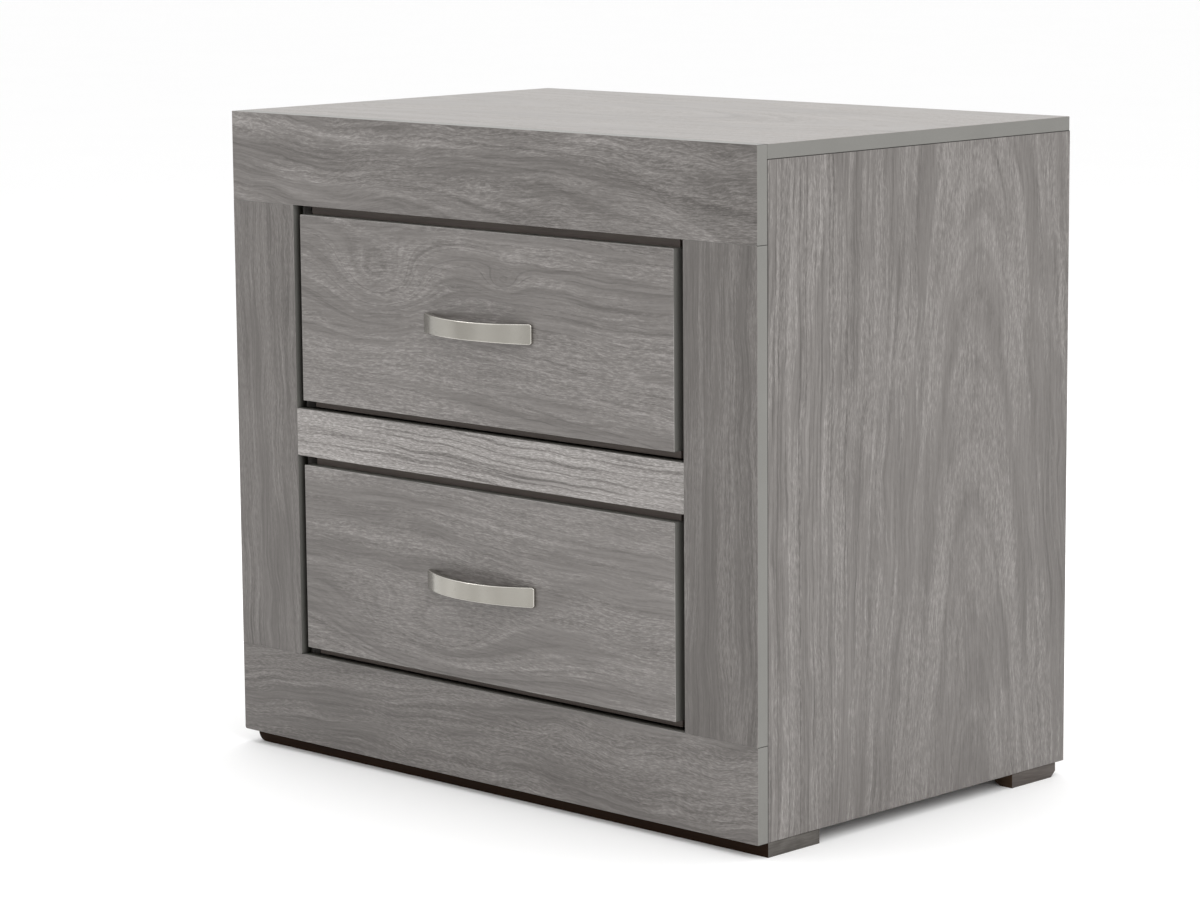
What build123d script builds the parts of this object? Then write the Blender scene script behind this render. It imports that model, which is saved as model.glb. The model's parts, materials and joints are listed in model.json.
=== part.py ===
from build123d import *
import os

os.makedirs("parts", exist_ok=True)

# Two-drawer nightstand in 12 mm laminated board.
# +X is the right side, the front faces -Y, +Z is up. The origin is on the floor,
# at the middle of the object's footprint, handles included. Millimetres.

# ---------------------------------------------------------------- case sizes
board = 12.0                # all case boards
width = 625.0               # across the case
depth = 398.0               # front of the frame to the rear edge of the sides
foot_h = 12.0               # strip and feet under the case
case_h = 560.0              # boards, without the feet
hardboard = 3.0             # back panel and drawer bottoms

# front frame, from the top down: rail, opening, rail, opening, rail
top_rail_h = 79.0
opening_h = 179.5
middle_rail_h = 42.0
bottom_rail_h = 80.0
stile_w = 79.5
opening_w = width - 2 * stile_w

# ---------------------------------------------------------------- drawer sizes
front_w = 447.0             # drawer front
front_h = 164.0
front_proud = 0.8           # the front stands this far out of the frame
slide_gap = 12.7            # room for a slide at each side of the box
box_w = 440.0
box_front_h = 177.5
box_side_h = 148.0
box_side_len = 338.0
box_side_low = 6.0          # side's lower edge above the opening's lower edge
box_bottom_low = 14.0       # bottom's lower face above the opening's lower edge
groove = 5.0
groove_h = 3.2
drawer_travel = 335.0

# ---------------------------------------------------------------- handle sizes
handle_half = 64.5          # half of the overall length
handle_out = 21.0           # outer face from the drawer front
handle_t = 4.5              # strap thickness
handle_end_h = 17.6         # strap height at its ends
handle_mid_h = 15.8         # strap height at its middle
handle_rim = 2.6            # blunt end of the strap
handle_screws = 96.0        # screw spacing

# ---------------------------------------------------------------- slide sizes
slide_len = 345.0
slide_h = 45.0
slide_setback = 3.0         # behind the frame's rear face
cage_len = 155.0
cage_start = 95.0           # cage's front end behind the slide's front end
ball_r = 1.5
ball_pitch = 27.0

# ---------------------------------------------------------------- levels
y_front = -(depth - handle_out - front_proud) / 2   # face of the frame
y_frame_rear = y_front + board
y_rear = y_front + depth
y_back_panel = y_rear - 14.0                        # front face of the back panel
z_low = foot_h                                      # underside of the boards
z_high = foot_h + case_h
x_side = width / 2
x_open = opening_w / 2
z_lower_opening = z_low + bottom_rail_h
z_upper_opening = z_lower_opening + opening_h + middle_rail_h
z_top_rail = z_upper_opening + opening_h
z_middle_rail = z_lower_opening + opening_h


def facing_front(y):
    """Upright plane at y, seen from the front: sketch x is X, sketch y is Z, normal -Y."""
    return Plane.XZ.offset(-y)


def facing_side(x):
    """Upright plane at x: sketch x is Y, sketch y is Z, normal +X."""
    return Plane.YZ.offset(x)


# ---------------------------------------------------------------- fasteners
# Each fastener is drawn once, head up, its head at the origin and its shank along -Z.
# Its bore is the same profile a little larger.
def turned(profile):
    with BuildPart() as body:
        with BuildSketch(Plane.XZ):
            with BuildLine():
                Polyline(*profile, close=True)
            make_face()
        revolve(axis=Axis.Z)
    return body.part


def flat_screw_profile(length, shank_r, head_r, play=0.0):
    cone = head_r - shank_r
    return [
        (0, play),
        (head_r + play, play),
        (head_r + play, -0.3),
        (shank_r + play, -cone - 0.3 - play),
        (shank_r + play, -length + shank_r),
        (0, -length - play),
    ]


def pan_screw_profile(length, shank_r, head_r, head_h, play=0.0):
    return [
        (0, head_h + play),
        (head_r * 0.8, head_h + play),
        (head_r + play, head_h * 0.5),
        (head_r + play, 0),
        (shank_r + play, 0),
        (shank_r + play, -length + shank_r),
        (0, -length - play),
    ]


def driven(profile, recess):
    """A screw with a cross recess in its head."""
    top = max(z for _, z in profile)
    with BuildPart() as body:
        with BuildSketch(Plane.XZ):
            with BuildLine():
                Polyline(*profile, close=True)
            make_face()
        revolve(axis=Axis.Z)
        with BuildSketch(Plane.XY.offset(top)):
            Rectangle(recess, recess * 0.24)
            Rectangle(recess * 0.24, recess)
        extrude(amount=-recess * 0.3, mode=Mode.SUBTRACT)
    return body.part


dowel_r, dowel_face, dowel_edge = 3.0, 8.0, 16.0
dowel_len = dowel_face + dowel_edge
play = 0.05


def dowel_profile(extra=0.0):
    r = dowel_r + extra
    return [
        (0, extra),
        (r - 0.8, extra),
        (r, -0.8),
        (r, -dowel_len + 0.8),
        (r - 0.8, -dowel_len - extra),
        (0, -dowel_len - extra),
    ]


dowel = turned(dowel_profile())
dowel_bore = turned([(0, play), (dowel_r + play, play), (dowel_r + play, -dowel_len - play), (0, -dowel_len - play)])
foot_screw = driven(flat_screw_profile(18, 1.5, 3.0), 3.4)
foot_screw_bore = turned(flat_screw_profile(18, 1.5, 3.0, play))
corner_screw = driven(flat_screw_profile(35, 1.75, 3.5), 4.0)
corner_screw_bore = turned(flat_screw_profile(35, 1.75, 3.5, play))
front_screw = driven(flat_screw_profile(20, 1.75, 3.5), 4.0)
front_screw_bore = turned(flat_screw_profile(20, 1.75, 3.5, play))
slide_screw = driven(pan_screw_profile(10, 1.6, 3.3, 1.3), 3.4)
slide_screw_bore = turned(pan_screw_profile(10, 1.6, 3.3, 1.3, play))
handle_screw = driven(pan_screw_profile(30, 2.0, 4.0, 2.4), 4.6)
handle_screw_bore = turned(pan_screw_profile(30, 2.0, 4.0, 2.4, play))
nail = turned([(0, 0), (1.7, 0), (1.7, -0.7), (0.7, -0.7), (0.7, -18.5), (0, -20)])
nail_bore = turned([(0, play), (1.75, play), (1.75, -0.75), (0.75, -0.75), (0.75, -18.5), (0, -20.05)])

# cam lock: a bolt screwed into one board's face, and a slotted disc in the other that grips its head
bolt_len = 32.0
cam_r, cam_depth, cam_from_edge = 6.0, 10.2, 22.0
cam_bolt = turned([
    (0, 0), (1.9, 0), (2.6, -0.9), (2.6, -8), (3.4, -8), (3.4, -9), (2.0, -9),
    (2.0, -25.0), (1.3, -26.0), (1.3, -28.0), (2.5, -28.6), (2.5, -30.5), (1.6, -31.4), (0, -31.4),
])
cam_bolt_bore = turned([
    (0, play), (2.65, play), (2.65, -7.9), (3.5, -7.9), (3.5, -bolt_len), (0, -bolt_len),
])
with BuildPart() as cam_disc_build:
    Cylinder(cam_r - 0.1, cam_depth - 0.2, align=(Align.CENTER, Align.CENTER, Align.MAX))
    # slot that the bolt's head enters, open to the bolt's side
    with BuildSketch(Plane.XY.offset(-1.6)):
        with Locations((0, (cam_r + 1) / 2)):
            Rectangle(5.6, cam_r + 1 + 5.6)
    extrude(amount=-7.9, mode=Mode.SUBTRACT)
    with BuildSketch(Plane.XY):
        Rectangle(7.0, 1.2)
        Rectangle(1.2, 7.0)
    extrude(amount=-1.0, mode=Mode.SUBTRACT)
cam_disc = cam_disc_build.part
cam_disc_bore = turned([(0, play), (cam_r, play), (cam_r, -cam_depth), (0, -cam_depth)])

UP, DOWN = (0, 0, 0), (180, 0, 0)              # where a head looks
FRONT, REAR = (90, 0, 0), (-90, 0, 0)
RIGHT, LEFT = (0, 90, 0), (0, -90, 0)


def placed(shape, places):
    """Copies of a shape at a list of (position, way the head looks)."""
    return [shape.moved(Location(point, way)) for point, way in places]


# dowels between boards
panel_y = [y_front + 72, y_front + 322]
inner_mid = x_open + board / 2                  # middle of an inner panel's thickness
side_mid = x_side - board / 2
dowel_places = []
for s in (-1, 1):
    for y in panel_y:
        dowel_places.append(((s * side_mid, y, z_high - board + dowel_face), UP))
        dowel_places.append(((s * inner_mid, y, z_high - board + dowel_face), UP))
        dowel_places.append(((s * inner_mid, y, z_low + board - dowel_face), DOWN))
        dowel_places.append(((s * (x_side - board + dowel_face), y, z_low + board / 2), RIGHT if s > 0 else LEFT))
    # the frame on the front edges of the side and inner panels
    for z in (60, 185, 400, 530):
        dowel_places.append(((s * side_mid, y_frame_rear - dowel_face, z), FRONT))
    for z in (60, z_middle_rail + middle_rail_h / 2, 530):
        dowel_places.append(((s * inner_mid, y_frame_rear - dowel_face, z), FRONT))
for x in (-150, 0, 150):
    dowel_places.append(((x, y_frame_rear - dowel_face, z_high - board / 2), FRONT))
    dowel_places.append(((x, y_frame_rear - dowel_face, z_low + board / 2), FRONT))
# the frame's own corners
frame_mid = y_front + board / 2
for s in (-1, 1):
    for x in (256, 288):
        dowel_places.append(((s * x, frame_mid, z_top_rail + dowel_len / 2), UP))
        dowel_places.append(((s * x, frame_mid, z_lower_opening - dowel_len / 2), DOWN))
    for z in (z_middle_rail + 10, z_middle_rail + middle_rail_h - 10):
        dowel_places.append(((s * (x_open + dowel_len / 2), frame_mid, z), RIGHT if s > 0 else LEFT))

# cam locks: sides to top, bottom to sides
bolt_places, cam_places = [], []
for s in (-1, 1):
    for y in (y_front + 115, y_front + 279):
        bolt_places.append(((s * side_mid, y, z_high - board + 8), UP))
        cam_places.append((Location((s * (x_side - board), y, z_high - board - cam_from_edge), (0, -90 * s, 0)), s, "top"))
        bolt_places.append(((s * (x_side - board + 8), y, z_low + board / 2), RIGHT if s > 0 else LEFT))
        cam_places.append((Location((s * (x_side - board - cam_from_edge), y, z_low), (180, 0, 0)), s, "bottom"))

# back panel nails, into the bottom panel and the inner panels
y_nail = y_back_panel + hardboard
nail_places = [((x, y_nail, z_low + board / 2), REAR) for x in (-250, -125, 0, 125, 250)]
nail_places += [((s * inner_mid, y_nail, z), REAR) for s in (-1, 1) for z in (110, 230, 350, 470)]

# feet
foot_y0, foot_depth = y_frame_rear, 62.5
strip_left, strip_r = -x_side + 5.0, 9.5
rear_foot_len, rear_foot_w, rear_foot_gap = 60.0, 21.0, 12.0
foot_places = [((x, foot_y0 + foot_depth / 2, 1.2), DOWN) for x in (-270, -90, 90, 270)]
foot_places += [
    ((s * side_mid, y_rear - rear_foot_gap - rear_foot_len / 2 + dy, 1.2), DOWN)
    for s in (-1, 1) for dy in (-14, 14)
]

# slides: screws through the outer members into the inner panels
slide_y0 = y_frame_rear + slide_setback
slide_z = [z + box_side_low + box_side_h / 2 for z in (z_lower_opening, z_upper_opening)]
outer_web = 1.2
cabinet_screw_places = [
    ((s * (x_open - outer_web), slide_y0 + dy, z), LEFT if s > 0 else RIGHT)
    for s in (-1, 1) for z in slide_z for dy in (38, 166, 310)
]

dowels_all = placed(dowel, dowel_places)
bolts_all = placed(cam_bolt, bolt_places)
nails_all = placed(nail, nail_places)
foot_screws_all = placed(foot_screw, foot_places)
cabinet_screws_all = placed(slide_screw, cabinet_screw_places)


def turned_to_bolt(shape, place, s, where):
    """A cam disc with its slot towards the bolt that comes into it."""
    turn = (0, 0, -90 * s) if where == "top" else (0, 0, -90 * s)
    return shape.moved(place * Location((0, 0, 0), turn))


cams_all = [turned_to_bolt(cam_disc, place, s, where) for place, s, where in cam_places]
case_bores = (
    placed(dowel_bore, dowel_places)
    + placed(cam_bolt_bore, bolt_places)
    + [cam_disc_bore.moved(place) for place, _, _ in cam_places]
    + placed(nail_bore, nail_places)
    + placed(foot_screw_bore, foot_places)
    + placed(slide_screw_bore, cabinet_screw_places)
)


def bores_in(low, high, bores=case_bores):
    """The bores that reach into the box between two corners."""
    found = []
    for bore in bores:
        b = bore.bounding_box()
        if all(
            lo < top - 0.01 and hi > bottom + 0.01
            for lo, hi, bottom, top in (
                (b.min.X, b.max.X, low[0], high[0]),
                (b.min.Y, b.max.Y, low[1], high[1]),
                (b.min.Z, b.max.Z, low[2], high[2]),
            )
        ):
            found.append(bore)
    return found


# ================================================================ case boards
y_top_rear = y_rear - 1.0                       # the top stops just short of the sides
case_y = (y_frame_rear + y_rear) / 2
groove_y = y_back_panel + groove_h / 2 - 0.1

with BuildPart() as top_panel:
    with BuildSketch(Plane.XY.offset(z_high - board)):
        with Locations((0, (y_frame_rear + y_top_rear) / 2)):
            Rectangle(width, y_top_rear - y_frame_rear)
    extrude(amount=board)
    # groove for the back panel, stopped short of the ends
    with BuildSketch(Plane.XY.offset(z_high - board)):
        with Locations((0, groove_y)):
            Rectangle(width - 2 * board + 2 * groove, groove_h)
    extrude(amount=groove, mode=Mode.SUBTRACT)
    add(bores_in((-x_side, y_frame_rear, z_high - board), (x_side, y_rear, z_high)), mode=Mode.SUBTRACT)
top_panel.part.label = "top_panel"
export_step(top_panel.part, "parts/top_panel.step")

for side, s in (("left", -1), ("right", 1)):
    x_inner = s * (x_side - board)
    with BuildPart() as side_panel:
        with BuildSketch(facing_side(min(x_inner, s * x_side))):
            with Locations((case_y, (z_low + z_high - board) / 2)):
                Rectangle(y_rear - y_frame_rear, case_h - board)
        extrude(amount=board)
        # groove for the back panel
        with BuildSketch(facing_side(x_inner)):
            with Locations((groove_y, (z_low + z_high - board) / 2)):
                Rectangle(groove_h, case_h - board)
        extrude(amount=s * groove, mode=Mode.SUBTRACT)
        add(
            bores_in(
                (min(x_inner, s * x_side), y_frame_rear, z_low),
                (max(x_inner, s * x_side), y_rear, z_high - board),
            ),
            mode=Mode.SUBTRACT,
        )
    side_panel.part.label = f"{side}_side_panel"
    export_step(side_panel.part, f"parts/{side}_side_panel.step")

    # upright in line with the drawer openings, which carries the slides
    with BuildPart() as inner_panel:
        with BuildSketch(facing_side(min(s * x_open, s * (x_open + board)))):
            with Locations(((y_frame_rear + y_back_panel) / 2, (z_low + z_high) / 2)):
                Rectangle(y_back_panel - y_frame_rear, case_h - 2 * board)
        extrude(amount=board)
        add(
            bores_in(
                (min(s * x_open, s * (x_open + board)), y_frame_rear, z_low + board),
                (max(s * x_open, s * (x_open + board)), y_back_panel, z_high - board),
            ),
            mode=Mode.SUBTRACT,
        )
    inner_panel.part.label = f"{side}_inner_panel"
    export_step(inner_panel.part, f"parts/{side}_inner_panel.step")

with BuildPart() as bottom_panel:
    with BuildSketch(Plane.XY.offset(z_low)):
        with Locations((0, (y_frame_rear + y_back_panel) / 2)):
            Rectangle(width - 2 * board, y_back_panel - y_frame_rear)
    extrude(amount=board)
    add(
        bores_in((-x_side + board, y_frame_rear, z_low), (x_side - board, y_back_panel, z_low + board)),
        mode=Mode.SUBTRACT,
    )
bottom_panel.part.label = "bottom_panel"
export_step(bottom_panel.part, "parts/bottom_panel.step")

back_w = width - 2 * board + 2 * groove - 1.0
back_high = z_high - board + groove - 0.5
with BuildPart() as back_panel:
    with BuildSketch(facing_front(y_back_panel)):
        with Locations((0, (z_low + 0.5 + back_high) / 2)):
            Rectangle(back_w, back_high - z_low - 0.5)
    extrude(amount=-hardboard)
    add(
        bores_in((-x_side, y_back_panel, z_low), (x_side, y_back_panel + hardboard, z_high)),
        mode=Mode.SUBTRACT,
    )
back_panel.part.label = "back_panel"
export_step(back_panel.part, "parts/back_panel.step")

# ================================================================ front frame
frame_boards = {
    "front_top_rail": (-x_side, x_side, z_top_rail, z_high),
    "front_bottom_rail": (-x_side, x_side, z_low, z_lower_opening),
    "front_middle_rail": (-x_open, x_open, z_middle_rail, z_upper_opening),
    "front_left_stile": (-x_side, -x_open, z_lower_opening, z_top_rail),
    "front_right_stile": (x_open, x_side, z_lower_opening, z_top_rail),
}
for name, (x0, x1, z0, z1) in frame_boards.items():
    with BuildPart() as frame_board:
        with BuildSketch(facing_front(y_front)):
            with Locations(((x0 + x1) / 2, (z0 + z1) / 2)):
                Rectangle(x1 - x0, z1 - z0)
        extrude(amount=-board)
        add(bores_in((x0, y_front, z0), (x1, y_frame_rear, z1)), mode=Mode.SUBTRACT)
    frame_board.part.label = name
    export_step(frame_board.part, f"parts/{name}.step")

# ================================================================ feet
with BuildPart() as front_foot_strip:
    with BuildSketch(facing_front(foot_y0)) as strip_profile:
        with Locations(((strip_left + x_side) / 2, foot_h / 2)):
            Rectangle(x_side - strip_left, foot_h)
        fillet(strip_profile.vertices().group_by(Axis.X)[0].sort_by(Axis.Y)[0], radius=strip_r)
    extrude(amount=-foot_depth)
    add(bores_in((-x_side, foot_y0, 0), (x_side, foot_y0 + foot_depth, foot_h)), mode=Mode.SUBTRACT)
front_foot_strip.part.label = "front_foot_strip"
export_step(front_foot_strip.part, "parts/front_foot_strip.step")

for side, s in (("left", -1), ("right", 1)):
    y1 = y_rear - rear_foot_gap
    y0 = y1 - rear_foot_len
    with BuildPart() as rear_foot:
        with BuildSketch(facing_front(y0)) as foot_profile:
            with Locations((s * (x_side - rear_foot_w / 2), foot_h / 2)):
                Rectangle(rear_foot_w, foot_h)
            # the inner lower corner is round
            inner = foot_profile.vertices().group_by(Axis.X)[0 if s > 0 else -1]
            fillet(inner.sort_by(Axis.Y)[0], radius=10.5)
        extrude(amount=-rear_foot_len)
        # the rear lower edge slopes up
        rear_low = rear_foot.edges().filter_by(Axis.X).group_by(Axis.Y)[-1].sort_by(Axis.Z)[0]
        chamfer(rear_low, length=6.0, length2=5.0)
        add(
            bores_in(
                (min(s * x_side, s * (x_side - rear_foot_w)), y0, 0),
                (max(s * x_side, s * (x_side - rear_foot_w)), y1, foot_h),
            ),
            mode=Mode.SUBTRACT,
        )
    rear_foot.part.label = f"rear_{side}_foot"
    export_step(rear_foot.part, f"parts/rear_{side}_foot.step")

# ================================================================ case fasteners
for name, group in (
    ("wood_dowels", dowels_all),
    ("cam_bolts", bolts_all),
    ("cam_lock_discs", cams_all),
    ("back_panel_nails", nails_all),
    ("foot_screws", foot_screws_all),
    ("slide_cabinet_screws", cabinet_screws_all),
):
    with BuildPart() as fasteners:
        add(group)
    fasteners.part.label = name
    export_step(fasteners.part, f"parts/{name}.step")

# ================================================================ drawers
slide_inner_web = (slide_gap - 1.2, slide_gap)          # against the box side
drawer_y = y_front - front_proud                        # face of a drawer front
box_y = drawer_y + board                                # box front's face
side_y = box_y + board                                  # front end of the box sides
side_end = side_y + box_side_len
x_box = box_w / 2


def channel(s, z_mid, outline, y0, length):
    """A rolled slide member: its section is given as (distance from the inner panel, height from the slide's middle)."""
    with BuildPart() as member:
        with BuildSketch(facing_front(y0)):
            with BuildLine():
                Polyline(*[(s * (x_open - u), z_mid + h) for u, h in outline], close=True)
            make_face()
        extrude(amount=-length)
    return member.part


def channel_outline(web_low, web_high, lips, half, t=1.2):
    """A C section: a web between two distances, and lips reaching to a third."""
    if lips > web_high:
        near, far = web_low, web_high
    else:
        near, far = web_high, web_low
    return [
        (near, -half), (lips, -half), (lips, -half + t), (far, -half + t),
        (far, half - t), (lips, half - t), (lips, half), (near, half),
    ]


outer_half, middle_half, inner_half = slide_h / 2, 17.6, 12.7
ball_rows = {"outer": ((21.3 + 17.6) / 2, 6.8, (2.85, 3.35, 9.0)), "inner": ((16.4 + 12.7) / 2, 8.2, (5.15, 5.65, 10.2))}

for drawer, z0 in (("lower", z_lower_opening), ("upper", z_upper_opening)):
    z_mid = z0 + opening_h / 2                          # middle of the drawer front
    z_slide = z0 + box_side_low + box_side_h / 2
    side_z0 = z0 + box_side_low
    side_z1 = side_z0 + box_side_h
    bottom_z = z0 + box_bottom_low
    bottom_top = bottom_z + hardboard

    # screws of this drawer, and their bores
    corner_places, front_places, slide_places, handle_places = [], [], [], []
    for s in (-1, 1):
        x_side_mid = s * (x_box - board / 2)
        for z in (side_z0 + 25, side_z1 - 25):
            corner_places.append(((x_side_mid, box_y, z), FRONT))
            corner_places.append(((s * x_box, side_end - board / 2, z), RIGHT if s > 0 else LEFT))
        for z in (side_z0 + 32, side_z1 - 20):
            front_places.append(((s * 150, side_y, z), REAR))
        for dy in (30, 170, 300):
            slide_places.append(((s * (x_open - slide_inner_web[0]), slide_y0 + dy, z_slide), RIGHT if s > 0 else LEFT))
        handle_places.append(((s * handle_screws / 2, side_y, z_mid), REAR))
    bores = (
        placed(corner_screw_bore, corner_places)
        + placed(front_screw_bore, front_places)
        + placed(slide_screw_bore, slide_places)
        + placed(handle_screw_bore, handle_places)
    )

    with BuildPart() as drawer_front:
        with BuildSketch(facing_front(drawer_y)):
            with Locations((0, z_mid)):
                Rectangle(front_w, front_h)
        extrude(amount=-board)
        add(bores_in((-front_w / 2, drawer_y, z0), (front_w / 2, box_y, z0 + opening_h), bores), mode=Mode.SUBTRACT)
    drawer_front.part.label = f"{drawer}_drawer_front"
    export_step(drawer_front.part, f"parts/{drawer}_drawer_front.step")

    with BuildPart() as box_front:
        with BuildSketch(facing_front(box_y)):
            with Locations((0, z_mid)):
                Rectangle(box_w, box_front_h)
        extrude(amount=-board)
        # groove for the bottom, between the sides
        with BuildSketch(facing_front(side_y)):
            with Locations((0, bottom_z + groove_h / 2)):
                Rectangle(box_w - 2 * board + 2 * groove, groove_h)
        extrude(amount=groove, mode=Mode.SUBTRACT)
        add(bores_in((-x_box, box_y, z0), (x_box, side_y, z0 + opening_h), bores), mode=Mode.SUBTRACT)
    box_front.part.label = f"{drawer}_drawer_box_front"
    export_step(box_front.part, f"parts/{drawer}_drawer_box_front.step")

    for side, s in (("left", -1), ("right", 1)):
        x_in = s * (x_box - board)
        with BuildPart() as box_side:
            with BuildSketch(facing_side(min(x_in, s * x_box))):
                with Locations(((side_y + side_end) / 2, (side_z0 + side_z1) / 2)):
                    Rectangle(box_side_len, box_side_h)
            extrude(amount=board)
            with BuildSketch(facing_side(x_in)):
                with Locations(((side_y + side_end) / 2, bottom_z + groove_h / 2)):
                    Rectangle(box_side_len, groove_h)
            extrude(amount=s * groove, mode=Mode.SUBTRACT)
            add(
                bores_in(
                    (min(x_in, s * x_box), side_y, side_z0), (max(x_in, s * x_box), side_end, side_z1), bores
                ),
                mode=Mode.SUBTRACT,
            )
        box_side.part.label = f"{drawer}_drawer_{side}_side"
        export_step(box_side.part, f"parts/{drawer}_drawer_{side}_side.step")

    with BuildPart() as box_back:
        with BuildSketch(facing_front(side_end - board)):
            with Locations((0, (bottom_top + side_z1) / 2)):
                Rectangle(box_w - 2 * board, side_z1 - bottom_top)
        extrude(amount=-board)
        add(
            bores_in((-x_box + board, side_end - board, side_z0), (x_box - board, side_end, side_z1), bores),
            mode=Mode.SUBTRACT,
        )
    box_back.part.label = f"{drawer}_drawer_back"
    export_step(box_back.part, f"parts/{drawer}_drawer_back.step")

    with BuildPart() as box_bottom:
        with BuildSketch(Plane.XY.offset(bottom_z)):
            with Locations((0, (side_y - groove + 0.5 + side_end) / 2)):
                Rectangle(box_w - 2 * board + 2 * groove - 1.0, side_end - side_y + groove - 0.5)
        extrude(amount=hardboard)
    box_bottom.part.label = f"{drawer}_drawer_bottom"
    export_step(box_bottom.part, f"parts/{drawer}_drawer_bottom.step")

    # bow handle: an arched flat strap, a little higher at its ends, with a boss behind each end for its screw
    strap_y = drawer_y
    with BuildPart() as handle:
        with BuildSketch(Plane.XY.offset(z_mid - handle_end_h / 2)):
            with BuildLine():
                bow = ThreePointArc(
                    (-handle_half, strap_y - handle_rim),
                    (0, strap_y - handle_out),
                    (handle_half, strap_y - handle_rim),
                )
                Line((handle_half, strap_y - handle_rim), (handle_half, strap_y))
                Line((handle_half, strap_y), (handle_half - 8, strap_y))
                ThreePointArc(
                    (handle_half - 8, strap_y),
                    (0, strap_y - handle_out + handle_t),
                    (-handle_half + 8, strap_y),
                )
                Line((-handle_half + 8, strap_y), (-handle_half, strap_y))
                Line((-handle_half, strap_y), (-handle_half, strap_y - handle_rim))
            make_face()
        extrude(amount=handle_end_h)
        # bosses
        with BuildSketch(facing_front(strap_y)):
            with Locations((-handle_screws / 2, z_mid), (handle_screws / 2, z_mid)):
                Rectangle(11, 11)
        extrude(amount=8.0)
        # the strap is lower in the middle
        with BuildSketch(facing_front(strap_y)):
            for way in (-1, 1):
                with BuildLine():
                    ThreePointArc(
                        (-handle_half, z_mid + way * handle_end_h / 2),
                        (0, z_mid + way * handle_mid_h / 2),
                        (handle_half, z_mid + way * handle_end_h / 2),
                    )
                    Polyline(
                        (handle_half, z_mid + way * handle_end_h / 2),
                        (handle_half + 5, z_mid + way * handle_end_h / 2),
                        (handle_half + 5, z_mid + way * handle_end_h),
                        (-handle_half - 5, z_mid + way * handle_end_h),
                        (-handle_half - 5, z_mid + way * handle_end_h / 2),
                        (-handle_half, z_mid + way * handle_end_h / 2),
                    )
                make_face()
        extrude(amount=handle_out + 5, mode=Mode.SUBTRACT)
        # round the corners of the ends, then the rim of the outer face
        ends = handle.edges().filter_by(Axis.Y).filter_by(lambda e: abs(abs(e.center().X) - handle_half) < 0.01)
        fillet(ends, radius=2.4)
        rim = handle.faces().sort_by(lambda f: f.bounding_box().min.Y)[0].edges()
        fillet(rim, radius=1.0)
        add(placed(handle_screw_bore, handle_places), mode=Mode.SUBTRACT)
    handle.part.label = f"{drawer}_handle"
    export_step(handle.part, f"parts/{drawer}_handle.step")

    for name, group in (
        (f"{drawer}_drawer_corner_screws", placed(corner_screw, corner_places)),
        (f"{drawer}_drawer_front_screws", placed(front_screw, front_places)),
        (f"{drawer}_slide_drawer_screws", placed(slide_screw, slide_places)),
        (f"{drawer}_handle_screws", placed(handle_screw, handle_places)),
    ):
        with BuildPart() as fasteners:
            add(group)
        fasteners.part.label = name
        export_step(fasteners.part, f"parts/{name}.step")

    # slides: outer member on the inner panel, middle member, inner member on the box side
    for side, s in (("left", -1), ("right", 1)):
        with BuildPart() as slide_outer:
            add(channel(s, z_slide, channel_outline(0, 1.2, 9.6, outer_half), slide_y0, slide_len))
            add(placed(slide_screw_bore, cabinet_screw_places), mode=Mode.SUBTRACT)
        slide_outer.part.label = f"{drawer}_{side}_slide_outer"
        export_step(slide_outer.part, f"parts/{drawer}_{side}_slide_outer.step")

        with BuildPart() as slide_middle:
            add(channel(s, z_slide, channel_outline(3.6, 4.8, 11.2, middle_half), slide_y0, slide_len))
        slide_middle.part.label = f"{drawer}_{side}_slide_middle"
        export_step(slide_middle.part, f"parts/{drawer}_{side}_slide_middle.step")

        with BuildPart() as slide_inner:
            add(channel(s, z_slide, channel_outline(*slide_inner_web, 6.0, inner_half), slide_y0, slide_len))
            add(placed(slide_screw_bore, slide_places), mode=Mode.SUBTRACT)
        slide_inner.part.label = f"{drawer}_{side}_slide_inner"
        export_step(slide_inner.part, f"parts/{drawer}_{side}_slide_inner.step")

    # ball cages with their balls, both sides of the drawer
    for ring, (row_z, row_u, (web0, web1, lip)) in ball_rows.items():
        cages = []
        for s in (-1, 1):
            spots = [
                (s * (x_open - row_u), slide_y0 + cage_start + 10 + i * ball_pitch, z_slide + way * row_z)
                for i in range(6) for way in (-1, 1)
            ]
            with BuildPart() as cage:
                add(channel(
                    s, z_slide, channel_outline(web0, web1, lip, row_z + 0.35, 0.7), slide_y0 + cage_start, cage_len
                ))
                with Locations(*spots):
                    Cylinder(ball_r + 0.2, 3.0, mode=Mode.SUBTRACT)
            cages.append(cage.part)
            with BuildPart() as balls:
                with Locations(*spots):
                    Sphere(ball_r)
            cages.append(balls.part)
        with BuildPart() as ball_cages:
            add(cages)
        ball_cages.part.label = f"{drawer}_{ring}_ball_cages"
        export_step(ball_cages.part, f"parts/{drawer}_{ring}_ball_cages.step")
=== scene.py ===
import json
import math

import bmesh
import bpy
from mathutils import Matrix, Vector


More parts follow.
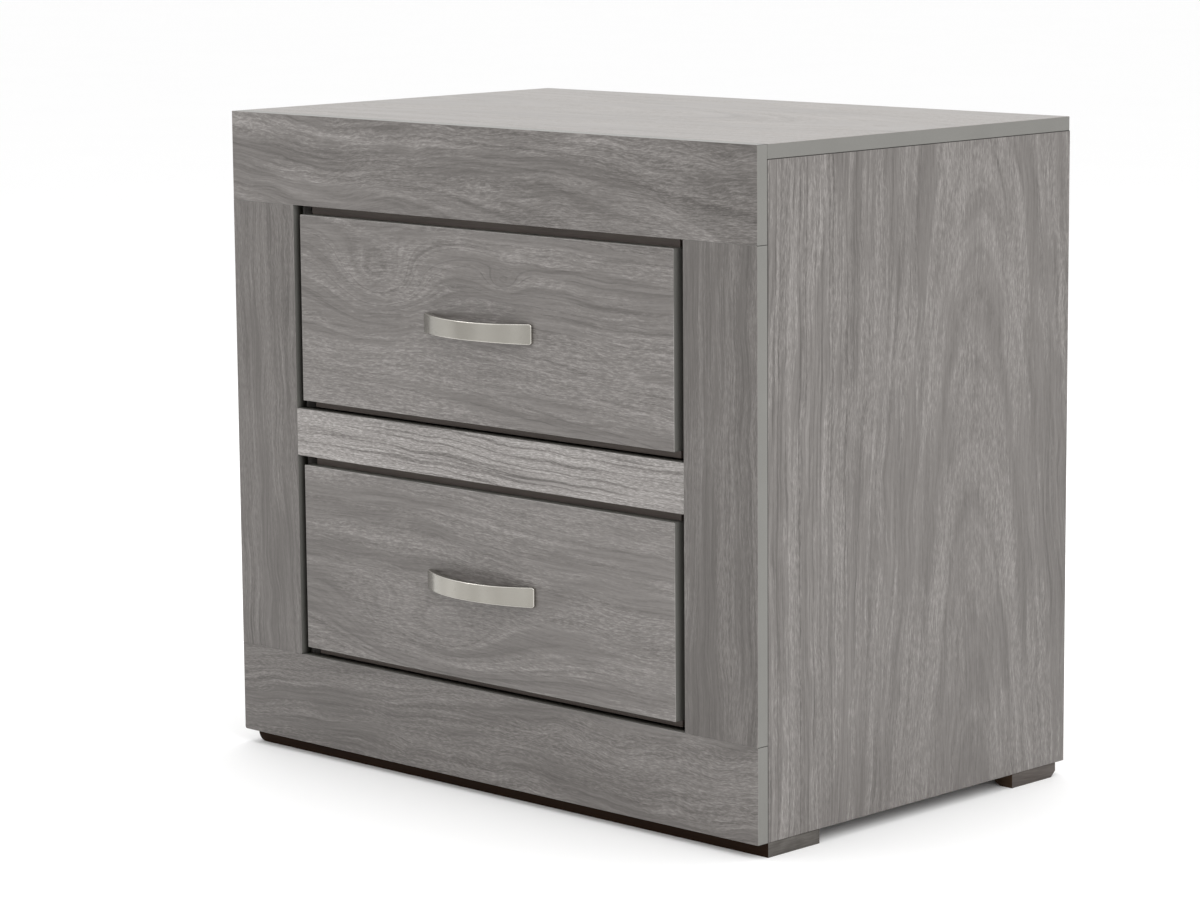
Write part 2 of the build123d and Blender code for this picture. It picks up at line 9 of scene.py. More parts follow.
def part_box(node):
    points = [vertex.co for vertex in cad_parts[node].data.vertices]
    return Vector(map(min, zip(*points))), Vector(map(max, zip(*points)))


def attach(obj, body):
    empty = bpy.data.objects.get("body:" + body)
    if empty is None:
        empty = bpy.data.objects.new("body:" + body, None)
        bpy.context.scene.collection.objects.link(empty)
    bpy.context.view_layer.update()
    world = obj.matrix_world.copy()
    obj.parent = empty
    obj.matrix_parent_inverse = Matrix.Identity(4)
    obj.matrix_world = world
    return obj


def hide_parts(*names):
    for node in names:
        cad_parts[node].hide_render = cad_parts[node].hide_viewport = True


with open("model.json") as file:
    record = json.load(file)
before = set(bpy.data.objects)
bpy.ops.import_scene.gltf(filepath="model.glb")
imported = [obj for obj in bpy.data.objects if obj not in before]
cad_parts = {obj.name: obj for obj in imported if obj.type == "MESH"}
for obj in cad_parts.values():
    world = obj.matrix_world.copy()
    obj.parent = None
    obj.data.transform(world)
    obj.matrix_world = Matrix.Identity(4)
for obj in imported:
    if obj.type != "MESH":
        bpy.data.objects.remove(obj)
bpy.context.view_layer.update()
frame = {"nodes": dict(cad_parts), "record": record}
scene = bpy.context.scene

# ------------------------------------------------------------------ camera
LENS, YAW, PITCH, ROLL = 117.49, math.radians(44.220), math.radians(8.897), math.radians(-0.458)
EYE = Vector((2.3442, -2.4534, 0.8092))
ahead = Vector((-math.sin(YAW) * math.cos(PITCH), math.cos(YAW) * math.cos(PITCH), -math.sin(PITCH)))
right = Vector((math.cos(YAW), math.sin(YAW), 0))
up = right.cross(ahead)
right, up = (
    math.cos(ROLL) * right + math.sin(ROLL) * up,
    -math.sin(ROLL) * right + math.cos(ROLL) * up,
)
cam_data = bpy.data.cameras.new("camera")
cam_data.lens, cam_data.sensor_width, cam_data.sensor_fit = LENS, 36, "HORIZONTAL"
cam_data.clip_start, cam_data.clip_end = 0.1, 100
camera = bpy.data.objects.new("camera", cam_data)
camera.matrix_world = Matrix((
    (right.x, up.x, -ahead.x, EYE.x),
    (right.y, up.y, -ahead.y, EYE.y),
    (right.z, up.z, -ahead.z, EYE.z),
    (0, 0, 0, 1),
))
scene.collection.objects.link(camera)
scene.camera = camera
scene.view_settings.view_transform = "Standard"
scene.view_settings.look = "None"


# ------------------------------------------------------------------ node helpers
class Nodes:
    """Short names for building one node tree."""

    def __init__(self, tree):
        self.tree = tree

    def add(self, kind, **settings):
        node = self.tree.nodes.new(kind)
        for key, value in settings.items():
            setattr(node, key, value)
        return node

    def put(self, socket, value):
        if value is None:
            return
        if isinstance(value, bpy.types.NodeSocket):
            self.tree.links.new(value, socket)
        else:
            socket.default_value = value

    def math(self, op, a, b=None, c=None, clamp=False):
        node = self.add("ShaderNodeMath", operation=op, use_clamp=clamp)
        for i, v in enumerate((a, b, c)):
            self.put(node.inputs[i], v)
        return node.outputs[0]

    def plus(self, a, b):
        return self.math("ADD", a, b)

    def minus(self, a, b):
        return self.math("SUBTRACT", a, b)

    def times(self, a, b):
        return self.math("MULTIPLY", a, b)

    def many(self, first, *rest):
        for r in rest:
            first = self.plus(first, r)
        return first

    def vec(self, x, y, z):
        node = self.add("ShaderNodeCombineXYZ")
        for s, v in zip(node.inputs, (x, y, z)):
            self.put(s, v)
        return node.outputs[0]

    def parts(self, v):
        node = self.add("ShaderNodeSeparateXYZ")
        self.put(node.inputs[0], v)
        return node.outputs[0], node.outputs[1], node.outputs[2]

    def noise(self, x, y, z, detail=2.0, rough=0.5, distortion=0.0):
        node = self.add("ShaderNodeTexNoise", noise_dimensions="3D")
        self.put(node.inputs["Vector"], self.vec(x, y, z))
        node.inputs["Scale"].default_value = 1.0
        node.inputs["Detail"].default_value = detail
        node.inputs["Roughness"].default_value = rough
        node.inputs["Distortion"].default_value = distortion
        return node.outputs["Fac"]

    def step(self, v, low, high):
        """0 below low, 1 above high, smooth between. low above high turns it round."""
        node = self.add("ShaderNodeMapRange", interpolation_type="SMOOTHSTEP")
        node.clamp = True
        turned = not isinstance(low, bpy.types.NodeSocket) and not isinstance(high, bpy.types.NodeSocket) and low > high
        self.put(node.inputs["Value"], v)
        self.put(node.inputs["From Min"], high if turned else low)
        self.put(node.inputs["From Max"], low if turned else high)
        node.inputs["To Min"].default_value = 1.0 if turned else 0.0
        node.inputs["To Max"].default_value = 0.0 if turned else 1.0
        return node.outputs[0]

    def lerp(self, fac, a, b):
        """a where fac is 0, b where it is 1."""
        node = self.add("ShaderNodeMix", data_type="FLOAT")
        self.put(node.inputs[0], fac)
        self.put(node.inputs[2], a)
        self.put(node.inputs[3], b)
        return node.outputs[0]

    def mix(self, fac, a, b):
        node = self.add("ShaderNodeMix", data_type="RGBA")
        self.put(node.inputs[0], fac)
        self.put(node.inputs[6], a)
        self.put(node.inputs[7], b)
        return node.outputs[2]

    def tint(self, tone, red, green, blue):
        """A display tone from 0 to 1, with an offset for each channel, as a linear colour."""
        node = self.add("ShaderNodeCombineColor")
        for s, off in zip(node.inputs, (red, green, blue)):
            self.put(s, self.math("POWER", self.math("MAXIMUM", self.plus(tone, off), 0.001), 2.2))
        return node.outputs[0]

    def bump(self, height, distance, strength):
        node = self.add("ShaderNodeBump")
        node.inputs["Strength"].default_value = strength
        node.inputs["Distance"].default_value = distance
        self.put(node.inputs["Height"], height)
        return node.outputs[0]


def material(name):
    m = bpy.data.materials.new(name)
    m.use_nodes = True
    m.node_tree.nodes.clear()
    n = Nodes(m.node_tree)
    out = n.add("ShaderNodeOutputMaterial")
    shader = n.add("ShaderNodeBsdfPrincipled")
    m.node_tree.links.new(shader.outputs[0], out.inputs[0])
    place = n.add("ShaderNodeTexCoord")
    return m, n, shader, place


def grain(n, u, v, w, look):
    """Limed oak figure. u runs along the grain, v across it. Returns tone, pore amount and height."""
    seed = look["seed"] * 3.17
    z = n.plus(n.times(w, 3.0), seed)

    def layer(x, y, shift, detail=2.0, rough=0.5):
        return n.noise(x, y, n.plus(z, shift), detail, rough)

    bend = n.times(n.minus(layer(n.times(u, 2.4), n.times(v, 6.0), 0.0), 0.5), look.get("bend", 0.05))
    wave = n.times(n.minus(layer(n.times(u, 16.0), n.times(v, 30.0), 7.0), 0.5), look.get("wave", 0.008))
    across = n.many(v, bend, wave)
    # growth rings cut by the board: nested arches where the trunk's axis leans through it
    side = n.minus(across, look.get("v0", 0.0))
    deep = n.plus(n.times(n.minus(u, look.get("u0", 0.0)), look.get("lean", 0.2)), look.get("deep", 0.06))
    field = n.math("SQRT", n.plus(n.times(side, side), n.times(deep, deep)))
    for ku, kv, wide, high, amount in look.get("knots", ()):
        du, dv = n.times(n.minus(u, ku), 1 / wide), n.times(n.minus(v, kv), 1 / high)
        bell = n.math("EXPONENT", n.times(n.plus(n.times(du, du), n.times(dv, dv)), -1.0))
        field = n.plus(field, n.times(bell, amount))
    # open-pored wood lies in bands along the rings, broken into patches
    bands = layer(n.times(u, 3.0), n.times(field, look.get("bands", 60.0)), 13.0, 3.0, 0.6)
    patch = layer(n.times(u, 8.0), n.times(across, 24.0), 21.0, 3.0, 0.6)
    ragged = n.minus(layer(n.times(u, 30.0), n.times(across, 420.0), 17.0, 2.0, 0.6), 0.5)
    ground = n.many(n.times(bands, 0.60), n.times(patch, 0.40), n.times(ragged, 0.16))
    open_wood = n.step(ground, look.get("from", 0.42), look.get("to", 0.55))
    # short pores, fine fibres along the trunk, longer lines along the rings
    pore = n.minus(layer(n.times(u, 170.0), n.times(across, 1100.0), 0.0, 2.0, 0.65), 0.5)
    fibre = n.minus(layer(n.times(u, 16.0), n.times(across, 560.0), 3.0, 3.0, 0.65), 0.5)
    line = n.minus(layer(n.times(u, 3.5), n.times(field, look.get("line_count", 230.0)), 33.0, 3.0, 0.6), 0.5)
    flecks = n.times(open_wood, n.step(pore, -0.02, 0.12))

    def contour(along, count, shift, width):
        wander = n.math("ABSOLUTE", n.minus(layer(n.times(u, along), n.times(field, count), shift, 2.0, 0.45), 0.5))
        return n.step(wander, width, width * 0.2)

    gate = look.get("lines_from", 0.42)
    shown = n.step(layer(n.times(u, 3.0), n.times(across, 11.0), 51.0), gate, gate + 0.2)
    dark_lines = n.times(contour(1.6, look.get("rings", 80.0), 27.0, 0.030), shown)
    light_lines = n.times(contour(3.0, look.get("rings", 80.0) * 1.5, 37.0, 0.035), n.lerp(open_wood, 0.25, 1.0))
    if "stripes" in look:
        none, full, amount = look["stripes"]
        row = n.step(v, none, full)
        lane = n.many(v, n.times(bend, 0.35), n.times(wave, 0.5))
        thin = n.minus(layer(n.times(u, 1.2), n.times(lane, 420.0), 61.0, 2.0, 0.6), 0.5)
        wide = n.step(layer(n.times(u, 0.8), n.times(lane, 130.0), 67.0, 1.0), 0.44, 0.36)
        rule = n.step(n.math("ABSOLUTE", n.minus(layer(n.times(u, 0.9), n.times(lane, 170.0), 71.0, 1.0), 0.5)), 0.035, 0.008)
        stripes = n.times(row, n.many(n.times(thin, 2.0 * amount), n.times(wide, -0.4 * amount), n.times(rule, -0.9 * amount), 0.2 * amount))
    cloud = n.minus(layer(n.times(u, 3.0), n.times(v, 7.0), 41.0, 3.0), 0.5)
    light, dark = look.get("light", 0.26), look.get("dark", 0.032)
    ramp_from, ramp = look.get("ramp", (0.0, 0.0))
    slope_from, slope = look.get("slope", (0.0, 0.0))
    tone = n.many(
        look.get("tone", 0.415),
        n.times(n.minus(v, ramp_from), ramp),
        n.times(n.minus(u, slope_from), slope),
        n.times(open_wood, look.get("haze", 0.030)),
        n.times(n.times(pore, n.lerp(open_wood, 0.35, 1.0)), light),
        n.times(flecks, light * 0.12),
        n.times(fibre, look.get("fibre", 0.17)),
        n.times(line, look.get("line", 0.15)),
        n.times(dark_lines, -dark),
        n.times(light_lines, look.get("bright", 0.028)),
        n.times(cloud, look.get("cloud", 0.035)),
    )
    if "stripes" in look:
        tone = n.plus(tone, stripes)
    return tone, flecks, n.minus(n.times(flecks, -0.8), n.times(dark_lines, 0.8))


AXES = {"X": 0, "Y": 1, "Z": 2}


def laminate(name, along, thick, look):
    """Grey wood-grain laminate on the two faces of a board, and a plain band round its edges.
    along is the grain's axis, thick the board's thin axis."""
    m, n, shader, place = material(name)
    xyz = n.parts(place.outputs["Object"])
    normal = n.parts(place.outputs["Normal"])
    across = ({"X", "Y", "Z"} - {along, thick}).pop()
    tone, pores, height = grain(n, xyz[AXES[along]], xyz[AXES[across]], xyz[AXES[thick]], look)
    facing = n.math("ABSOLUTE", normal[AXES[thick]])
    face = n.step(facing, 0.55, 0.75)
    # edge band: plain, with faint lengthwise streaks
    streak = n.minus(
        n.noise(n.times(xyz[0], 25.0), n.times(xyz[1], 25.0), n.times(xyz[2], 25.0), 3.0), 0.5
    )
    speck = n.minus(n.noise(n.times(xyz[0], 900.0), n.times(xyz[1], 900.0), n.times(xyz[2], 900.0), 1.0), 0.5)
    band = n.many(look.get("band", 0.448), n.times(streak, 0.03), n.times(speck, 0.02))
    # arrises rub lighter, and a painted highlight along them stands in for light catching the rounded edges
    arris_lightening = n.times(n.step(facing, 0.2, 0.5), n.step(facing, 0.985, 0.9))
    patch_mask = n.step(n.noise(n.times(xyz[0], 30.0), n.times(xyz[1], 30.0), n.times(xyz[2], 30.0), 3.0), 0.3, 0.6)
    rub_and_highlight = n.times(n.times(arris_lightening, patch_mask), look.get("arris_lightening", 0.05))
    # painted shade darkens the arrises along the joints with the next board, where the crease lies in shade, and the
    # painted highlight is taken off there; seams: (axis, side, axis, side)
    painted_shade_factor = 1.0
    for a, sa, b, sb in look.get("seams", ()):
        joint = n.times(n.step(n.times(normal[AXES[a]], sa), 0.25, 0.5), n.step(n.times(normal[AXES[b]], sb), 0.25, 0.5))
        painted_shade_factor = n.times(painted_shade_factor, n.minus(1.0, n.times(joint, 0.65)))
        rub_and_highlight = n.times(rub_and_highlight, n.minus(1.0, joint))
    # and painted shade darkens the edges inside the drawer openings towards the rear, where the gaps lie in shade
    if "recess_shade" in look:
        start, end, amount = look["recess_shade"]
        depth = n.times(n.step(xyz[1], start, end), n.minus(1.0, face))
        depth = n.times(depth, n.step(n.math("ABSOLUTE", xyz[0]), 0.245, 0.240))
        depth = n.times(depth, n.times(n.step(xyz[2], OPENING_LOW - 0.002, OPENING_LOW - 0.001), n.step(xyz[2], OPENING_HIGH + 0.002, OPENING_HIGH + 0.001)))
        painted_shade_factor = n.times(painted_shade_factor, n.minus(1.0, n.times(depth, amount)))
    warm = look.get("warm", 0.0)
    face_colour = n.tint(n.times(n.plus(tone, rub_and_highlight), painted_shade_factor), 0.0137 + warm, -0.002, -0.0137 - warm)
    band_colour = n.tint(n.times(n.plus(band, rub_and_highlight), painted_shade_factor), 0.004, 0.0, -0.016)
    n.put(shader.inputs["Base Color"], n.mix(face, band_colour, face_colour))
    n.put(shader.inputs["Roughness"], n.lerp(face, 0.38, n.many(look.get("rough", 0.40), n.times(pores, 0.16), n.times(speck, 0.05))))
    n.put(shader.inputs["Normal"], n.bump(n.times(height, face), 0.0001, 0.5))
    return m


def plain_board(name, along, across, tone, offsets, contrast=1.0, rough=0.55, seed=0.0, gloss=0.5, lit_flanks=None):
    """Printed board with a quiet grain, for the drawer boxes and the feet."""
    m, n, shader, place = material(name)
    xyz = n.parts(place.outputs["Object"])
    u, v = xyz[AXES[along]], xyz[AXES[across]]
    w = xyz[({0, 1, 2} - {AXES[along], AXES[across]}).pop()]
    z = n.plus(n.times(w, 60.0), seed)
    drift = n.times(n.minus(n.noise(n.times(u, 4.0), n.times(v, 9.0), seed, 2.0), 0.5), 0.03)
    vv = n.plus(v, drift)
    streak = n.minus(n.noise(n.times(u, 8.0), n.times(vv, 130.0), z, 3.0), 0.5)
    fine = n.minus(n.noise(n.times(u, 60.0), n.times(vv, 900.0), z, 2.0), 0.5)
    cloud = n.minus(n.noise(n.times(u, 6.0), n.times(v, 6.0), n.plus(z, 9.0), 3.0), 0.5)
    figure = n.many(n.times(streak, 0.09 * contrast), n.times(fine, 0.07 * contrast), n.times(cloud, 0.04 * contrast))
    colour = n.tint(n.plus(tone, figure), *offsets)
    if lit_flanks:
        # painted light: the faces towards the sides are paler and greyer than the faces to the front, lit and shaded
        # copies of one print
        painted_lit_side = n.tint(n.plus(lit_flanks[0], n.times(figure, 2.5)), *lit_flanks[1])
        colour = n.mix(n.step(n.math("ABSOLUTE", n.parts(place.outputs["Normal"])[0]), 0.5, 0.7), colour, painted_lit_side)
    n.put(shader.inputs["Base Color"], colour)
    shader.inputs["Specular IOR Level"].default_value = gloss
    n.put(shader.inputs["Roughness"], n.plus(rough, n.times(fine, 0.25)))
    n.put(shader.inputs["Normal"], n.bump(n.plus(fine, streak), 0.0001, 0.35))
    return m


def hardboard(name, tone, seed):
    """Pressed fibre board."""
    m, n, shader, place = material(name)
    x, y, z = n.parts(place.outputs["Object"])
    felt = n.minus(n.noise(n.times(x, 700.0), n.plus(n.times(y, 700.0), seed), n.times(z, 700.0), 3.0, 0.7), 0.5)
    hair = n.step(n.noise(n.times(x, 160.0), n.plus(n.times(y, 500.0), seed), n.times(z, 420.0), 2.0, 0.6, 0.8), 0.55, 0.75)
    cloud = n.minus(n.noise(n.times(x, 9.0), n.times(y, 9.0), n.times(z, 9.0), 4.0, 0.6), 0.5)
    value = n.many(tone, n.times(felt, 0.10), n.times(hair, -0.035), n.times(cloud, 0.09))
    n.put(shader.inputs["Base Color"], n.tint(value, 0.045, 0.0, -0.055))
    n.put(shader.inputs["Roughness"], n.plus(0.72, n.times(felt, 0.3)))
    n.put(shader.inputs["Normal"], n.bump(felt, 0.0002, 0.4))
    return m


def metal(name, tone, offsets, rough, brushed=None, blotch=0.03, bump=0.15, painted_rim_highlight=0.0):
    """Plated metal: brushed along an axis, or with the fine crystal bloom of zinc plate."""
    m, n, shader, place = material(name)
    xyz = n.parts(place.outputs["Object"])
    scale = [1400.0, 1400.0, 1400.0]
    if brushed:
        scale[AXES[brushed]] = 45.0
    lines = n.minus(n.noise(*[n.times(c, s) for c, s in zip(xyz, scale)], 2.0, 0.6), 0.5)
    cloud = n.minus(n.noise(*[n.times(c, 70.0) for c in xyz], 3.0, 0.6), 0.5)
    rubbed = n.step(n.noise(*[n.times(c, 260.0) for c in xyz], 3.0, 0.65), 0.58, 0.72)
    value = n.many(tone, n.times(lines, 0.04), n.times(cloud, blotch * 2), n.times(rubbed, -blotch * 0.6))
    if painted_rim_highlight:
        # painted highlight on the arrises, and painted reflection bands across the bow
        normal = n.parts(place.outputs["Normal"])
        rise = n.math("ABSOLUTE", normal[2])
        edge = n.math("MAXIMUM", n.minus(n.step(rise, 0.2, 0.5), n.step(rise, 0.85, 0.97)), n.step(n.math("ABSOLUTE", normal[0]), 0.60, 0.80))
        painted_reflection_bands = n.minus(n.noise(n.times(xyz[0], 34.0), n.times(xyz[1], 34.0), n.times(xyz[2], 6.0), 1.0), 0.5)
        value = n.many(value, n.times(edge, painted_rim_highlight), n.times(painted_reflection_bands, 0.20))
    n.put(shader.inputs["Base Color"], n.tint(value, *offsets))
    shader.inputs["Metallic"].default_value = 1.0
    n.put(shader.inputs["Roughness"], n.many(rough, n.times(lines, 0.12), n.times(cloud, 0.14), n.times(rubbed, 0.07)))
    n.put(shader.inputs["Normal"], n.bump(lines, 0.00004, bump))
    return m


def give(node, *mats):
    """Materials for a CAD node's slots."""
    data = frame["nodes"][node]
    slots = data.material_slots
    if not slots:
        data.data.materials.append(mats[0])
        return
    for s in slots:
        s.link = "OBJECT"
        s.material = mats[0]


# ------------------------------------------------------------------ boards with rounded arrises
def edge_of(e, axis):
    d = (e.verts[1].co - e.verts[0].co).normalized()
    return abs(d[axis]) > 0.99


def board(node, mat, arris=0.0004, corners=()):
    """A board in a CAD board's place, with every arris rounded.
    corners: (axis, (side, side), radius) rounds one long edge more. Sides are -1 or 1 along the other two axes, in order."""
    low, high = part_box(node)
    mesh = bpy.data.meshes.new(node + "_board")
    bm = bmesh.new()
    bmesh.ops.create_cube(bm, size=1.0)
    mid, size = (low + high) / 2, high - low
    for v in bm.verts:
        v.co = Vector((mid[i] + v.co[i] * size[i] for i in range(3)))
    for axis, sides, radius in corners:
        others = [i for i in range(3) if i != axis]
        chosen = [
            e for e in bm.edges
            if edge_of(e, axis)
            and all(((e.verts[0].co[o] - mid[o]) > 0) == (s > 0) for o, s in zip(others, sides))
        ]
        bmesh.ops.bevel(bm, geom=chosen, offset=radius, segments=5, profile=0.5, affect="EDGES")
    sharp = [e for e in bm.edges if len(e.link_faces) == 2 and e.calc_face_angle() > math.radians(40)]
    bmesh.ops.bevel(bm, geom=sharp, offset=arris, segments=3, profile=0.5, affect="EDGES")
    for f in bm.faces:
        f.smooth = True
    bm.to_mesh(mesh)
    bm.free()
    piece = bpy.data.objects.new(node + "_board", mesh)
    scene.collection.objects.link(piece)
    mesh.materials.append(mat)
    normals = piece.modifiers.new("flat_faces", "WEIGHTED_NORMAL")
    normals.keep_sharp, normals.weight = True, 100
    body = next(b for b, nodes in frame["record"]["behaviour"]["bodies"].items() if node in nodes)
    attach(piece, body)
    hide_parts(node)
    return piece


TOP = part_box("front_top_rail")
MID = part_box("front_middle_rail")
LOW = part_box("front_bottom_rail")
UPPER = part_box("upper_drawer_front")
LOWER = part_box("lower_drawer_front")
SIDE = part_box("right_side_panel")


# where each board's arrises meet the next board
# painted shade falls on these arrises, in the creases between the boards
FRAME_SEAMS = [("X", s, "Y", 1) for s in (-1, 1)] + [("X", s, "Z", t) for s in (-1, 1) for t in (-1, 1)]
SIDE_SEAMS = [("X", s, a, t) for s in (-1, 1) for a, t in (("Y", -1), ("Z", 1))]
TOP_SEAMS = [("X", s, "Z", -1) for s in (-1, 1)] + [("Y", -1, "Z", 1)]
# painted shade deepening into the openings and along the drawer fronts' edges: (start, end, amount)
OPENING_RECESS_SHADE = (TOP[0].y + 0.002, TOP[0].y + 0.0105, 0.72)
DRAWER_RECESS_SHADE = (UPPER[0].y + 0.003, UPPER[1].y, 0.30)
OPENING_LOW, OPENING_HIGH = LOW[1].z, TOP[0].z

board("front_top_rail", laminate("laminate_top_rail", "X", "Y", {
    "seed": 1, "v0": TOP[0].z - 0.02, "u0": -0.75, "lean": 0.09, "deep": 0.01, "bend": 0.07, "wave": 0.012,
    "bands": 55.0, "haze": 0.035, "light": 0.28, "line": 0.26, "fibre": 0.19, "tone": 0.359, "dark": 0.045, "slope": (0.0, -0.075),
    "seams": FRAME_SEAMS, "recess_shade": OPENING_RECESS_SHADE,
}), arris=0.0005)
board("front_bottom_rail", laminate("laminate_bottom_rail", "X", "Y", {
    "seed": 22, "v0": LOW[0].z + 0.12, "u0": -1.0, "lean": 0.07, "deep": 0.01, "bend": 0.06, "wave": 0.014, "tone": 0.351,
    "haze": 0.026, "line": 0.18, "slope": (0.0, 0.05), "seams": FRAME_SEAMS, "recess_shade": OPENING_RECESS_SHADE,
}), arris=0.0005, corners=((1, (-1, -1), 0.002),))
board("front_middle_rail", laminate("laminate_middle_rail", "X", "Y", {
    "seed": 3, "v0": MID[0].z - 0.09, "u0": -0.6, "lean": 0.03, "deep": 0.02, "bend": 0.035,
    "tone": 0.470, "from": 0.30, "to": 0.46, "dark": 0.12, "light": 0.38, "line": 0.26, "rings": 110.0, "lines_from": 0.3,
    "recess_shade": OPENING_RECESS_SHADE,
}), arris=0.0005)
board("front_left_stile", laminate("laminate_left_stile", "Z", "Y", {
    "seed": 4, "v0": -0.35, "u0": 0.1, "lean": 0.04, "deep": 0.02, "bend": 0.05, "wave": 0.016, "tone": 0.344, "light": 0.20,
    "fibre": 0.14, "seams": FRAME_SEAMS, "recess_shade": OPENING_RECESS_SHADE,
}), arris=0.0004)
board("front_right_stile", laminate("laminate_right_stile", "Z", "Y", {
    "seed": 5, "v0": 0.18, "u0": 0.9, "lean": 0.05, "deep": 0.02, "bend": 0.05, "wave": 0.010, "tone": 0.335, "light": 0.20,
    "fibre": 0.14, "seams": FRAME_SEAMS, "recess_shade": OPENING_RECESS_SHADE,
}), arris=0.0004)
board("upper_drawer_front", laminate("laminate_upper_drawer", "X", "Y", {
    "seed": 6, "v0": UPPER[0].z - 0.05, "u0": -0.6, "lean": 0.08, "deep": 0.03, "bend": 0.03, "light": 0.28, "tone": 0.390,
    "rings": 105.0, "lines_from": 0.33, "dark": 0.042, "line": 0.13, "arris_lightening": 0.10, "recess_shade": DRAWER_RECESS_SHADE,
    "knots": ((-0.125, UPPER[0].z + 0.112, 0.060, 0.036, 0.048), (0.028, UPPER[0].z + 0.122, 0.022, 0.011, 0.015)),
}), arris=0.0007)
board("lower_drawer_front", laminate("laminate_lower_drawer", "X", "Y", {
    "seed": 7, "v0": LOWER[0].z - 0.06, "u0": -0.8, "lean": 0.08, "deep": 0.02, "bend": 0.04, "tone": 0.384, "slope": (0.0, 0.075),
    "rings": 95.0, "lines_from": 0.38, "dark": 0.036, "arris_lightening": 0.10, "recess_shade": DRAWER_RECESS_SHADE,
    "knots": ((-0.06, LOWER[0].z + 0.03, 0.12, 0.035, 0.045),),
}), arris=0.0007)
board("right_side_panel", laminate("laminate_right_side", "Z", "X", {
    "seed": 8, "v0": 0.085, "u0": -0.12, "lean": 0.11, "deep": 0.03, "bend": 0.04, "wave": 0.012, "tone": 0.383, "seams": SIDE_SEAMS,
    "ramp": (0.0, -0.04), "stripes": (-0.01, -0.11, 0.065), "from": 0.44, "to": 0.54, "haze": 0.034,
}), arris=0.0007)
board("left_side_panel", laminate("laminate_left_side", "Z", "X", {
    "seed": 9, "v0": -0.04, "u0": 0.8, "lean": 0.12, "deep": 0.03, "bend": 0.04, "wave": 0.012, "tone": 0.383, "seams": SIDE_SEAMS,
    "stripes": (0.02, 0.12, 0.055), "from": 0.44, "to": 0.54, "haze": 0.034,
}), arris=0.0007)
board("top_panel", laminate("laminate_top", "X", "Z", {
    "seed": 10, "seams": TOP_SEAMS, "v0": 0.03, "u0": -0.6, "lean": 0.10, "deep": 0.03, "bend": 0.06, "band": 0.435,
    "light": 0.20, "fibre": 0.15, "line": 0.15, "dark": 0.03, "cloud": 0.06, "haze": 0.026, "rough": 0.30, "warm": 0.007,
}), arris=0.0005)

inner = laminate("laminate_inner", "Z", "X", {"seed": 11, "v0": 0.0, "lean": 0.1})
for s in ("left", "right"):
    give(f"{s}_inner_panel", inner)
give("bottom_panel", laminate("laminate_bottom", "X", "Z", {"seed": 12, "v0": 0.0, "lean": 0.1}))
give("back_panel", hardboard("hardboard_back", 0.46, 1.0))

# ------------------------------------------------------------------ drawer boxes
BOX = (0.040, 0.002, -0.022)
box_x = plain_board("box_board_x", "X", "Z", 0.285, BOX, contrast=1.8, seed=1.0)
box_y = plain_board("box_board_y", "Y", "Z", 0.290, BOX, contrast=1.3, seed=2.0)
box_floor = hardboard("hardboard_drawer", 0.40, 5.0)
zinc = metal("zinc_plate", 0.76, (0.0, 0.004, 0.010), 0.34, blotch=0.05)
zinc_rolled = metal("zinc_plate_rolled", 0.74, (0.0, 0.004, 0.010), 0.30, brushed="Y", blotch=0.05)
# the handle's rim highlight and bands across the bow are painted highlight and painted reflection
nickel = metal("satin_nickel", 0.585, (0.012, 0.0, -0.028), 0.20, brushed="X", blotch=0.012, painted_rim_highlight=0.22)
cast = metal("zinc_casting", 0.62, (0.0, 0.0, 0.004), 0.5, blotch=0.08, bump=0.4)
beech = plain_board("beech", "Z", "X", 0.78, (0.05, -0.03, -0.16), contrast=0.8, seed=3.0)
for d in ("lower", "upper"):
    give(f"{d}_drawer_box_front", box_x)
    give(f"{d}_drawer_back", box_x)
    give(f"{d}_drawer_left_side", box_y)
    give(f"{d}_drawer_right_side", box_y)
    give(f"{d}_drawer_bottom", box_floor)
    give(f"{d}_handle", nickel)
    for n_ in ("drawer_corner_screws", "drawer_front_screws", "slide_drawer_screws", "handle_screws"):
        give(f"{d}_{n_}", zinc)
    for s in ("left", "right"):
        for member in ("outer", "middle", "inner"):
            give(f"{d}_{s}_slide_{member}", zinc_rolled)
    give(f"{d}_outer_ball_cages", zinc)
    give(f"{d}_inner_ball_cages", zinc)
for n_ in ("cam_bolts", "back_panel_nails", "foot_screws", "slide_cabinet_screws"):
    give(n_, zinc)
give("cam_lock_discs", cast)
give("wood_dowels", beech)

# ------------------------------------------------------------------ feet
FOOT = (0.056, 0.006, -0.034)
LIT_FLANKS = (0.330, (0.012, 0.0, -0.013))
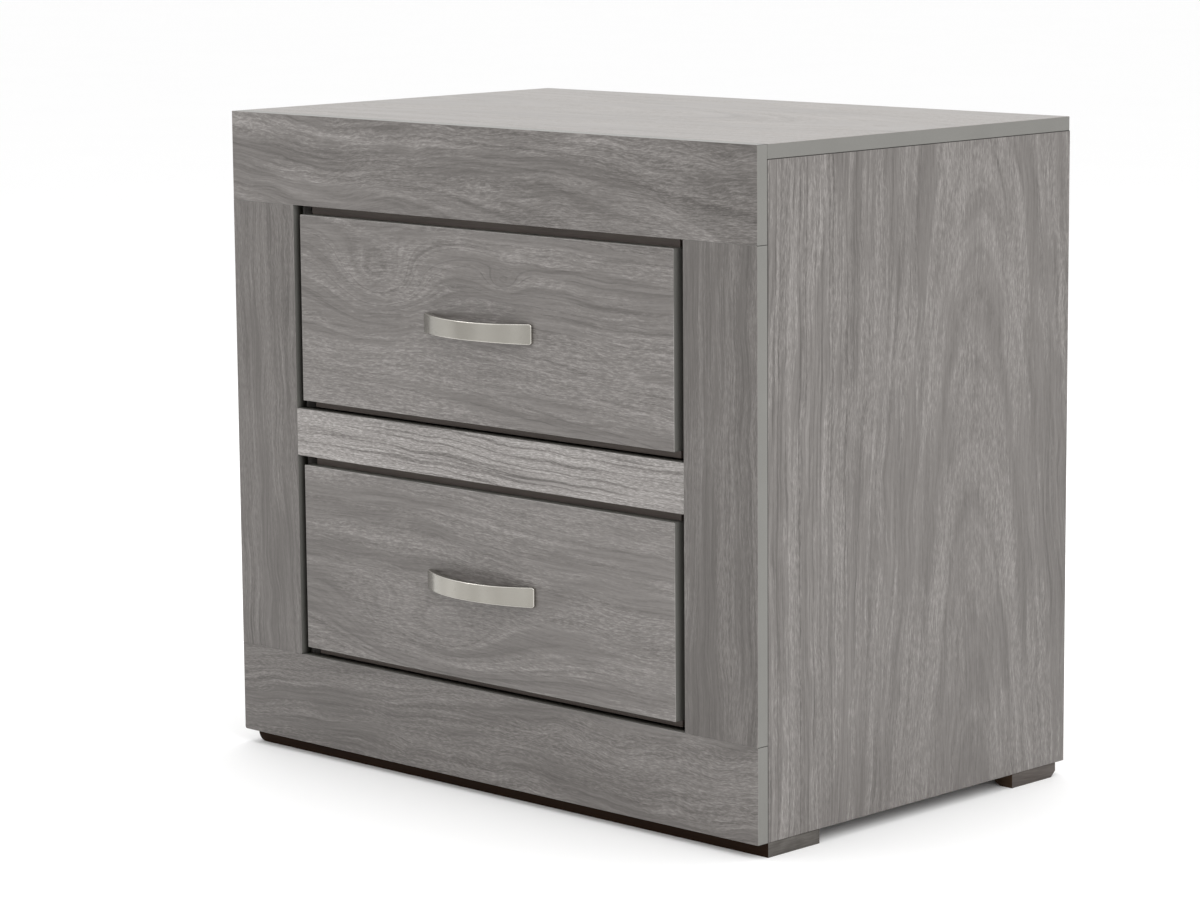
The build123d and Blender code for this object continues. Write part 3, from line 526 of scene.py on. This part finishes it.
# painted light and shade: the feet's front faces are dark as in shade, their flanks pale as in light
give("front_foot_strip", plain_board("foot_board_x", "X", "Z", 0.088, FOOT, contrast=0.7, rough=0.6, seed=4.0, gloss=0.08, lit_flanks=LIT_FLANKS))
foot_y = plain_board("foot_board_y", "Y", "Z", 0.180, FOOT, contrast=0.8, rough=0.6, seed=6.0, gloss=0.15, lit_flanks=(0.285, (0.020, 0.0, -0.013)))
give("rear_left_foot", foot_y)
give("rear_right_foot", foot_y)

# ------------------------------------------------------------------ floor, world and lights
floor_mesh = bpy.data.meshes.new("floor")
bm = bmesh.new()
bmesh.ops.create_circle(bm, cap_ends=True, segments=96, radius=40.0)
bm.to_mesh(floor_mesh)
bm.free()
floor = bpy.data.objects.new("floor", floor_mesh)
scene.collection.objects.link(floor)
m, n, shader, place = material("studio_floor")
n.put(shader.inputs["Base Color"], n.tint(
    n.plus(0.994, n.times(n.minus(n.noise(*[n.times(c, 3.0) for c in n.parts(place.outputs["Object"])], 2.0), 0.5), 0.006)), 0.0, 0.0, 0.0))
shader.inputs["Roughness"].default_value = 0.9
shader.inputs["Specular IOR Level"].default_value = 0.1
floor_mesh.materials.append(m)

world = bpy.data.worlds.new("studio")
scene.world = world
world.use_nodes = True
background = world.node_tree.nodes["Background"]
background.inputs["Color"].default_value = (1, 1, 1, 1)
background.inputs["Strength"].default_value = 1.0


def softbox(name, at, size, power, towards=(0, 0, 0.3)):
    data = bpy.data.lights.new(name, "AREA")
    data.shape, data.size, data.size_y, data.energy = "RECTANGLE", size[0], size[1], power
    lamp = bpy.data.objects.new(name, data)
    lamp.location = at
    lamp.rotation_euler = (Vector(towards) - Vector(at)).to_track_quat("-Z", "Y").to_euler()
    scene.collection.objects.link(lamp)
    return lamp


softbox("key_right", (2.6, -0.6, 1.9), (1.8, 1.8), 26)
softbox("overhead", (-0.2, 0.6, 2.6), (2.2, 2.2), 24)
softbox("front_fill", (-1.3, -2.6, 1.6), (1.6, 1.6), 5)
softbox("left_spark", (-1.75, -0.95, 2.05), (0.5, 0.5), 5)
